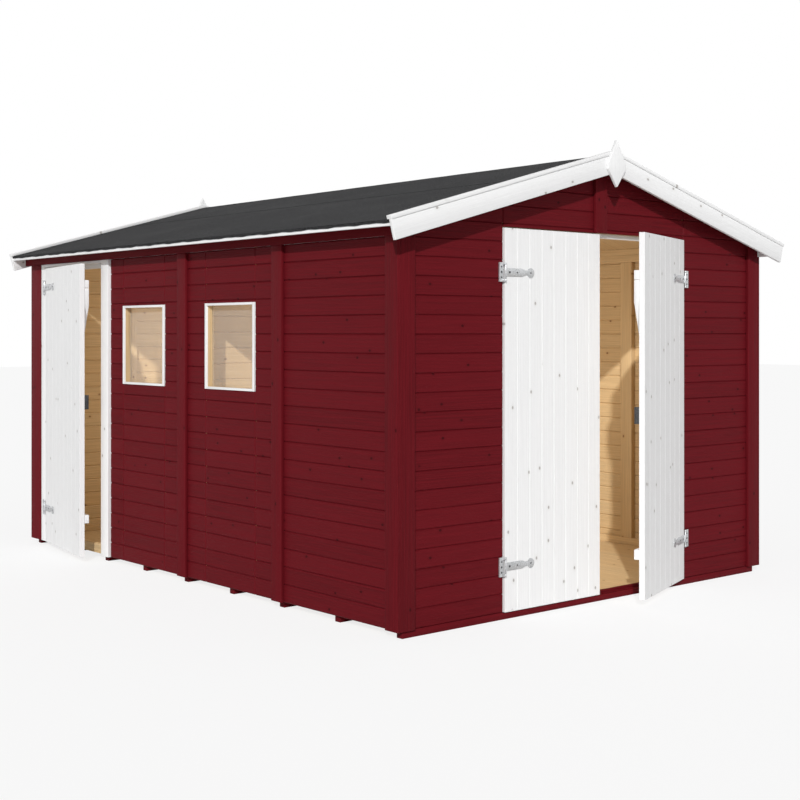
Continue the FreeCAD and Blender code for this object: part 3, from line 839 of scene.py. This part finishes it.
class SHED_OT_windows(bpy.types.Operator):
    """Finish the window frames and their panes"""

    bl_idname = "shed.windows"
    bl_label = "Windows"

    def execute(self, context):
        obj = round_edges(copy_of("window_frames", "window_frames_planed"), 0.0012)
        place(obj, "shell", finish_of("window"), "white_timber", "window_frames", seed=101)
        obj = round_edges(copy_of("window_panes", "window_glazing"), 0.0006, 1)
        place(obj, "shell", finish_of("pane"), "window_glass", "window_panes", seed=102)
        return {"FINISHED"}


# Doors: leaves are boarded closed, then swung to where they stand at rest
def hinge_axis(number):
    return Vector(frame["joints"][number]["pos_m"])


DOORS = (
    ("front_left", "front_left_door", 0, 0.0, "X"),
    ("front_right", "front_right_door", 1, OPEN_RIGHT, "X"),
    ("side", "side_door", 2, -OPEN_SIDE, "Y"),
)


def swing(obj, number, angle):
    """Turns a closed piece about its hinge, counter-clockwise seen from above."""
    pivot = hinge_axis(number)
    cos, sin = math.cos(angle), math.sin(angle)
    for vertex in obj.data.vertices:
        dx, dy = vertex.co.x - pivot.x, vertex.co.y - pivot.y
        vertex.co.x = pivot.x + dx * cos - dy * sin
        vertex.co.y = pivot.y + dx * sin + dy * cos
    return obj


def closed_box(node, number, angle):
    """Corners of a leaf's node once it is swung shut."""
    pivot = hinge_axis(number)
    cos, sin = math.cos(-angle), math.sin(-angle)
    spots = np.array([v.co for v in frame["nodes"][node].data.vertices])
    dx, dy = spots[:, 0] - pivot.x, spots[:, 1] - pivot.y
    spots[:, 0] = pivot.x + dx * cos - dy * sin
    spots[:, 1] = pivot.y + dx * sin + dy * cos
    return Vector(spots.min(0)), Vector(spots.max(0))


class SHED_OT_doors(bpy.types.Operator):
    """Board the door leaves and round their ledges and braces"""

    bl_idname = "shed.doors"
    bl_label = "Doors"

    def execute(self, context):
        for name, body, number, angle, across in DOORS:
            lowest, highest = closed_box(name + "_leaf", number, angle)
            axis = "XY".index(across)
            width = highest[axis] - lowest[axis]
            count = round(width / sizes().leaf_board)
            cover = width / count
            end = Vector(highest)
            end[axis] = lowest[axis] + cover
            obj = block(name + "_leaf_boards", lowest, end)
            round_edges(obj, sizes().leaf_groove, 1)
            step = [0, 0, 0]
            step[axis] = cover
            repeat(obj, count, step)
            swing(obj, number, angle)
            place(obj, body, finish_of("white"), "white_boards", name + "_leaf", seed=110 + number)
            obj = round_edges(copy_of(name + "_ledges", name + "_ledges_planed"), sizes().round_edge)
            place(obj, body, finish_of("white"), "white_timber", name + "_ledges", seed=120 + number)
        return {"FINISHED"}


# Ironwork
def screw_head(name, centre, outward, radius):
    """A domed head with a crossed recess."""
    bpy.ops.object.select_all(action="DESELECT")
    bpy.ops.mesh.primitive_cylinder_add(vertices=16, radius=radius, depth=0.0016)
    obj = bpy.context.active_object
    obj.name = name
    bpy.ops.object.mode_set(mode="EDIT")
    bpy.ops.mesh.select_all(action="DESELECT")
    bpy.ops.object.mode_set(mode="OBJECT")
    for face in obj.data.polygons:
        face.select = face.normal.z > 0.9
    bpy.ops.object.mode_set(mode="EDIT")
    bpy.ops.mesh.select_mode(type="FACE")
    bpy.ops.mesh.inset(thickness=radius * 0.35)
    bpy.ops.transform.translate(value=(0, 0, 0.0007))
    bpy.ops.mesh.inset(thickness=radius * 0.3)
    bpy.ops.transform.translate(value=(0, 0, -0.0008))
    bpy.ops.object.mode_set(mode="OBJECT")
    turn = Vector(outward).to_track_quat("Z", "Y").to_matrix().to_4x4()
    obj.data.transform(turn)
    for vertex in obj.data.vertices:
        vertex.co += Vector(centre)
    obj.location = (0, 0, 0)
    return obj


class SHED_OT_hinges(bpy.types.Operator):
    """Dress the straps and plates of the hinges and put screws in them"""

    bl_idname = "shed.hinges"
    bl_label = "Hinges"

    def execute(self, context):
        obj = round_edges(copy_of("hinge_plates", "hinge_plates_rounded"), sizes().steel_edge)
        place(obj, "shell", finish_of("zinc"), "galvanised", "hinge_plates", seed=130)
        heights = self.heights()
        plate_screws_painted_shade = []
        for name, body, number, angle, _ in DOORS:
            obj = round_edges(copy_of(name + "_straps", name + "_straps_rounded"), sizes().steel_edge)
            place(obj, body, finish_of("zinc"), "galvanised", name + "_straps", seed=131 + number)
            screws = []
            inward, along = self.directions(name)
            face = hinge_axis(number) + inward * STRAP_FACE
            for z in heights:
                for reach, size in STRAP_SCREWS:
                    spot = face + along * reach
                    screws.append(screw_head("screw", (spot.x, spot.y, z), -inward, sizes().screw * size))
                for rise, size in PLATE_SCREWS:
                    spot = self.plate_face(name, number) - along * PLATE_MIDDLE
                    plate_screws_painted_shade.append(
                        screw_head("screw", (spot.x, spot.y, z + rise), -inward, sizes().screw * size))
            obj = merge(name + "_strap_screws_painted_shade", screws)
            swing(obj, number, angle)
            # The screw heads are black as painted shade: the black stands in for the dark shaded holes in
            # the straps.
            place(obj, body, finish_of("black"), "latch_metal", seed=140 + number)
        obj = merge("plate_screws_painted_shade", plate_screws_painted_shade)
        # These screw heads are black as painted shade too, standing in for the dark shaded holes in the
        # plates.
        place(obj, "shell", finish_of("black"), "latch_metal", seed=150)
        return {"FINISHED"}

    def heights(self):
        spots = np.array([v.co.z for v in frame["nodes"]["hinge_plates"].data.vertices])
        middle = (spots.min() + spots.max()) / 2
        lower, upper = spots[spots < middle], spots[spots > middle]
        return [(lower.min() + lower.max()) / 2, (upper.min() + upper.max()) / 2]

    def directions(self, name):
        if name == "side":
            return Vector((1, 0, 0)), Vector((0, -1, 0))
        return Vector((0, 1, 0)), Vector((1 if name == "front_left" else -1, 0, 0))

    def plate_face(self, name, number):
        spot = hinge_axis(number)
        if name == "side":
            spot.x = low("side_door_frame").x - PLATE_OFF_CASING
        else:
            spot.y += PLATE_BEHIND_AXIS
        return spot


class SHED_OT_latches(bpy.types.Operator):
    """Dress the latch cases, their keeper and their small plates"""

    bl_idname = "shed.latches"
    bl_label = "Latches"

    def execute(self, context):
        for node, body in (("front_latch", "front_right_door"), ("front_keeper", "front_left_door"),
                           ("side_latch", "side_door")):
            obj = round_edges(copy_of(node, node + "_case"), 0.0025, 3)
            place(obj, body, finish_of("black"), "latch_metal", node, seed=160)
        for name, number, angle, body in (("front", 1, OPEN_RIGHT, "front_right_door"),
                                          ("side", 2, -OPEN_SIDE, "side_door")):
            lowest, highest = closed_box(name + "_latch", number, angle)
            obj = self.plate(name, lowest, highest)
            swing(obj, number, angle)
            place(obj, body, finish_of("zinc"), "galvanised", seed=165 + number)
        return {"FINISHED"}

    def plate(self, name, lowest, highest):
        rim, depth = LATCH_PLATE_RIM, LATCH_PLATE_DEPTH
        if name == "front":
            face_low = (lowest.x + rim, highest.y - depth, lowest.z + rim)
            face_high = (highest.x - rim, highest.y, highest.z - rim)
        else:
            face_low = (highest.x - depth, lowest.y + rim, lowest.z + rim)
            face_high = (highest.x, highest.y - rim, highest.z - rim)
        return round_edges(block(name + "_latch_plate", face_low, face_high), 0.0006)


# Floor, light and camera
class SHED_OT_stage(bpy.types.Operator):
    """Lay the pale floor and set the light and the camera"""

    bl_idname = "shed.stage"
    bl_label = "Stage"

    def execute(self, context):
        self.ground()
        self.sky()
        self.sun()
        self.room_light()
        self.camera()
        context.scene.view_settings.view_transform = "Standard"
        return {"FINISHED"}

    def ground(self):
        bpy.ops.object.select_all(action="DESELECT")
        bpy.ops.mesh.primitive_plane_add(size=90, location=(0, 0, -0.0005))
        floor = bpy.context.active_object
        floor.name = "floor"
        material, tree, shader = start_material("pale_floor")
        shader.inputs["Base Color"].default_value = (0.90, 0.90, 0.90, 1)
        shader.inputs["Roughness"].default_value = 0.9
        shader.inputs["Specular IOR Level"].default_value = 0.05
        white = add(tree, "ShaderNodeEmission")
        white.inputs["Strength"].default_value = 1.0
        seen = add(tree, "ShaderNodeLightPath").outputs["Is Camera Ray"]
        blend = add(tree, "ShaderNodeMixShader")
        wire(tree, math_node(tree, "MULTIPLY", seen, FLOOR_WHITE), blend.inputs[0])
        wire(tree, shader.outputs[0], blend.inputs[1])
        wire(tree, white.outputs[0], blend.inputs[2])
        wire(tree, blend.outputs[0], tree.nodes["Material Output"].inputs["Surface"])
        floor.data.materials.append(material)

    def sky(self):
        world = bpy.data.worlds.new("sky")
        bpy.context.scene.world = world
        world.use_nodes = True
        tree = world.node_tree
        tree.nodes.clear()
        rays = add(tree, "ShaderNodeLightPath")
        seen = math_node(tree, "MAXIMUM", rays.outputs["Is Camera Ray"], rays.outputs["Is Glossy Ray"])
        seen = math_node(tree, "MAXIMUM", seen, rays.outputs["Is Transmission Ray"])
        soft = add(tree, "ShaderNodeBackground")
        soft.inputs["Color"].default_value = (1, 1, 1, 1)
        soft.inputs["Strength"].default_value = SKY_STRENGTH
        white = add(tree, "ShaderNodeBackground")
        white.inputs["Color"].default_value = (1, 1, 1, 1)
        white.inputs["Strength"].default_value = 1.0
        blend = add(tree, "ShaderNodeMixShader")
        wire(tree, seen, blend.inputs[0])
        wire(tree, soft.outputs[0], blend.inputs[1])
        wire(tree, white.outputs[0], blend.inputs[2])
        wire(tree, blend.outputs[0], add(tree, "ShaderNodeOutputWorld").inputs["Surface"])

    def sun(self):
        lamp = bpy.data.lights.new("sun", "SUN")
        lamp.energy = SUN_STRENGTH
        lamp.angle = math.radians(1.2)
        obj = bpy.data.objects.new("sun", lamp)
        bpy.context.scene.collection.objects.link(obj)
        obj.rotation_mode = "QUATERNION"
        obj.rotation_quaternion = Vector(SUN_DIRECTION).to_track_quat("-Z", "Y")

    def room_light(self):
        """A soft fill in each room, for the light that pale boards throw about indoors."""
        for start, end in ROOMS:
            lamp = bpy.data.lights.new("room_fill", "POINT")
            lamp.energy = ROOM_LIGHT
            lamp.shadow_soft_size = 0.35
            obj = bpy.data.objects.new("room_fill", lamp)
            bpy.context.scene.collection.objects.link(obj)
            obj.location = (0, (start + end) / 2, ROOM_LIGHT_HEIGHT)
            obj.visible_camera = False
            obj.visible_glossy = False
            obj.visible_transmission = False

    def camera(self):
        eye = bpy.data.cameras.new("camera")
        eye.lens = EYE_LENS
        eye.sensor_width = 36
        eye.shift_y = EYE_SHIFT
        obj = bpy.data.objects.new("camera", eye)
        bpy.context.scene.collection.objects.link(obj)
        obj.location = EYE_PLACE
        obj.rotation_euler = (math.radians(90), 0, EYE_TURN)
        bpy.context.scene.camera = obj


OPERATORS = (
    SHED_OT_walls, SHED_OT_window_wall, SHED_OT_partition, SHED_OT_floor, SHED_OT_roof_boards,
    SHED_OT_felt, SHED_OT_timbers, SHED_OT_windows, SHED_OT_doors, SHED_OT_hinges, SHED_OT_latches,
    SHED_OT_stage,
)


class SHED_PT_sidebar(bpy.types.Panel):
    """Lists the shed's sizes, colours and steps."""

    bl_idname = "SHED_PT_sidebar"
    bl_label = "Timber shed"
    bl_space_type = "VIEW_3D"
    bl_region_type = "UI"
    bl_category = "Shed"

    def draw(self, context):
        for group in (context.scene.shed_sizes, context.scene.shed_colours):
            for name in group.__annotations__:
                self.layout.prop(group, name)
        for operator in OPERATORS:
            self.layout.operator(operator.bl_idname)


CLASSES = (ShedSizes, ShedColours) + OPERATORS + (SHED_PT_sidebar,)


def register():
    for each in CLASSES:
        bpy.utils.register_class(each)
    bpy.types.Scene.shed_sizes = bpy.props.PointerProperty(type=ShedSizes)
    bpy.types.Scene.shed_colours = bpy.props.PointerProperty(type=ShedColours)


def unregister():
    del bpy.types.Scene.shed_colours
    del bpy.types.Scene.shed_sizes
    for each in reversed(CLASSES):
        bpy.utils.unregister_class(each)


def main():
    register()
    bpy.ops.shed.walls()
    bpy.ops.shed.window_wall()
    bpy.ops.shed.partition()
    bpy.ops.shed.floor()
    bpy.ops.shed.roof_boards()
    bpy.ops.shed.felt()
    bpy.ops.shed.timbers()
    bpy.ops.shed.windows()
    bpy.ops.shed.doors()
    bpy.ops.shed.hinges()
    bpy.ops.shed.latches()
    bpy.ops.shed.stage()
    bpy.context.view_layer.update()


if __name__ == "__main__":
    main()
